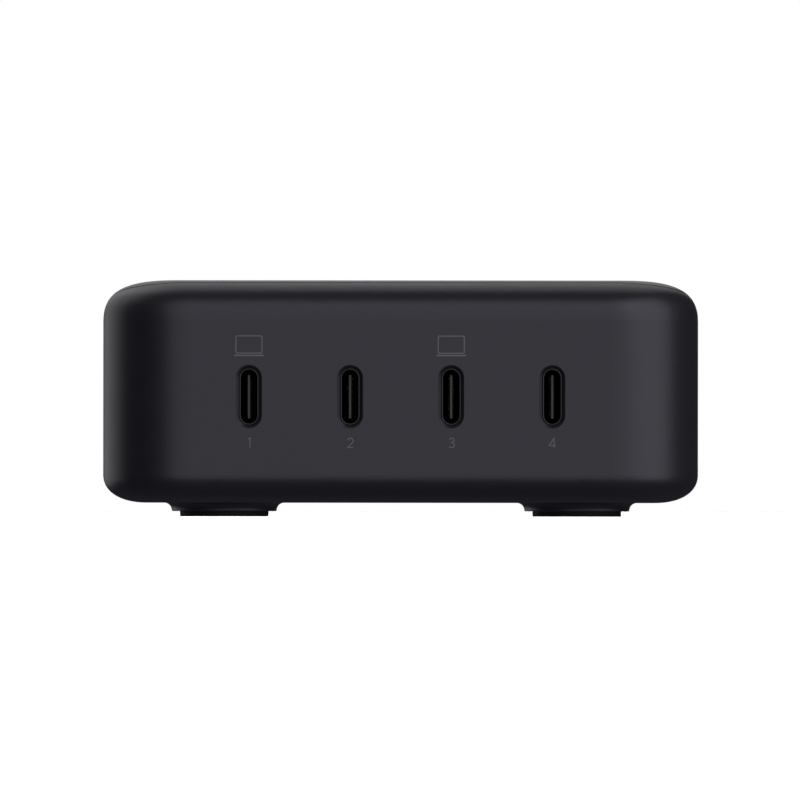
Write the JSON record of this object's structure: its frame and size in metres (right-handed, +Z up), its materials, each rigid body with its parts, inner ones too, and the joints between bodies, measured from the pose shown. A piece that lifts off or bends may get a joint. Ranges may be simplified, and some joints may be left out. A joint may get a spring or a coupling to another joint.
{
  "type": "multi port usb desktop charger",
  "caption": "Low square desktop charger with soft edges, upright USB-C outlets in a row on the front, a figure-eight mains inlet at the back and round stepped feet.",
  "frame": {"origin": "on the table under the middle of the case", "axes": "+Z up, -Y out of the front with the outlets, +X to the right as seen from the front"},
  "size_m": [0.092, 0.092, 0.0365],
  "materials": {
    "case_plastic": "satin, finely grained",
    "foot_rubber": "matte",
    "outlet_metal": "dark plated",
    "outlet_plastic": "matte",
    "inlet_plastic": "matte",
    "pin_brass": "nickel plated",
    "board": "solder mask",
    "screw_steel": "zinc plated",
    "film": "translucent sheet",
    "ferrite": "matte ceramic",
    "winding": "taped wire",
    "can": "sleeved",
    "epoxy": "moulded",
    "capacitor_box": "moulded",
    "heat_metal": "satin",
    "thermal_pad": "soft"
  },
  "bodies": {
    "root": {"board_screws": "screw_steel", "boost_inductor_core": "ferrite", "boost_inductor_winding": "winding", "bridge_rectifier": "epoxy", "bulk_capacitor_1": "can", "bulk_capacitor_2": "can", "bulk_capacitor_3": "can", "case": "case_plastic", "film_capacitor": "capacitor_box", "foot_pad_front_left": "foot_rubber", "foot_pad_front_right": "foot_rubber", "foot_pad_rear_left": "foot_rubber", "foot_pad_rear_right": "foot_rubber", "fuse": "epoxy", "heat_spreader": "heat_metal", "insulating_film": "film", "main_board": "board", "mains_filter_core": "ferrite", "mains_filter_winding": "winding", "mains_inlet": "inlet_plastic", "mains_pins": "pin_brass", "outlet_board": "board", "output_capacitor_1": "can", "output_capacitor_2": "can", "output_capacitor_3": "can", "output_capacitor_4": "can", "output_choke_1": "epoxy", "output_choke_2": "epoxy", "output_choke_3": "epoxy", "output_choke_4": "epoxy", "switch_board": "board", "switch_heatsink": "heat_metal", "thermal_pad_boost_inductor": "thermal_pad", "thermal_pad_transformer": "thermal_pad", "top_cover": "case_plastic", "transformer_core": "ferrite", "transformer_winding": "winding", "usb_c_shell_1": "outlet_metal", "usb_c_shell_2": "outlet_metal", "usb_c_shell_3": "outlet_metal", "usb_c_shell_4": "outlet_metal", "usb_c_tongue_1": "outlet_plastic", "usb_c_tongue_2": "outlet_plastic", "usb_c_tongue_3": "outlet_plastic", "usb_c_tongue_4": "outlet_plastic"}
  },
  "joints": []
}
